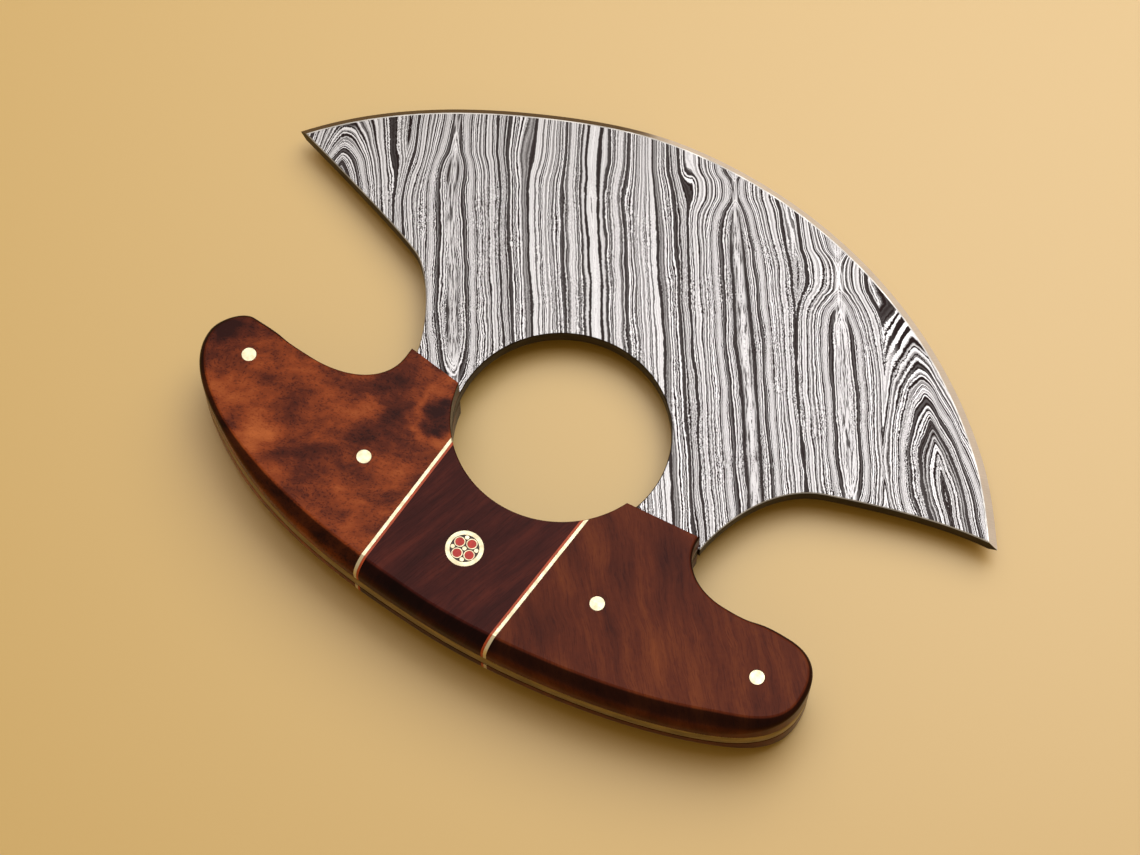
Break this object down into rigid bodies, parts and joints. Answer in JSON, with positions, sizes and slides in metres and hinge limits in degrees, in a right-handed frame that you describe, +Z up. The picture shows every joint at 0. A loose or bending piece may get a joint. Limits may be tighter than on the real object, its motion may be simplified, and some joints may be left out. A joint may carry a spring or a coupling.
{
  "type": "ulu knife",
  "caption": "Ulu knife with a crescent blade of folded steel, a full tang, a round finger hole, and wooden handle scales with brass and red fibre spacers, held by brass pins.",
  "frame": {"origin": "on the surface that the knife lies on, at the middle of its footprint", "axes": "+X along the handle, +Y from the handle's spine towards the cutting edge, +Z up; the knife lies on the end of its back scale and on the edge of its bevel, so the blade falls by 4.3 degrees towards +Y"},
  "size_m": [0.1798, 0.1278, 0.0183],
  "materials": {
    "folded_steel": "pattern-welded and etched, light and dark layers, satin",
    "amber_burl": "mottled orange-brown burl, polished",
    "dark_rosewood": "very dark purple-brown, fine straight grain, polished",
    "red_brown_wood": "red-brown straight grain, polished",
    "polished_brass": "polished, pale",
    "red_fibre": "vulcanised fibre, satin",
    "red_core": "dyed resin, satin",
    "dark_resin": "dark bedding resin, polished"
  },
  "bodies": {
    "root": {"blade_and_tang": "folded_steel", "front_scale_left": "amber_burl", "front_scale_centre": "dark_rosewood", "front_scale_right": "red_brown_wood", "back_scale_left": "amber_burl", "back_scale_centre": "dark_rosewood", "back_scale_right": "red_brown_wood", "front_brass_left": "polished_brass", "front_brass_right": "polished_brass", "back_brass_left": "polished_brass", "back_brass_right": "polished_brass", "front_fibre_left": "red_fibre", "front_fibre_right": "red_fibre", "back_fibre_left": "red_fibre", "back_fibre_right": "red_fibre", "pin_outer_left": "polished_brass", "pin_inner_left": "polished_brass", "pin_inner_right": "polished_brass", "pin_outer_right": "polished_brass", "mosaic_tube": "polished_brass", "mosaic_small_tube_1": "polished_brass", "mosaic_small_tube_2": "polished_brass", "mosaic_small_tube_3": "polished_brass", "mosaic_small_tube_4": "polished_brass", "mosaic_core_1": "red_core", "mosaic_core_2": "red_core", "mosaic_core_3": "red_core", "mosaic_core_4": "red_core", "mosaic_rod_centre": "polished_brass", "mosaic_rod_1": "polished_brass", "mosaic_rod_2": "polished_brass", "mosaic_rod_3": "polished_brass", "mosaic_rod_4": "polished_brass", "mosaic_resin": "dark_resin"}
  },
  "joints": []
}
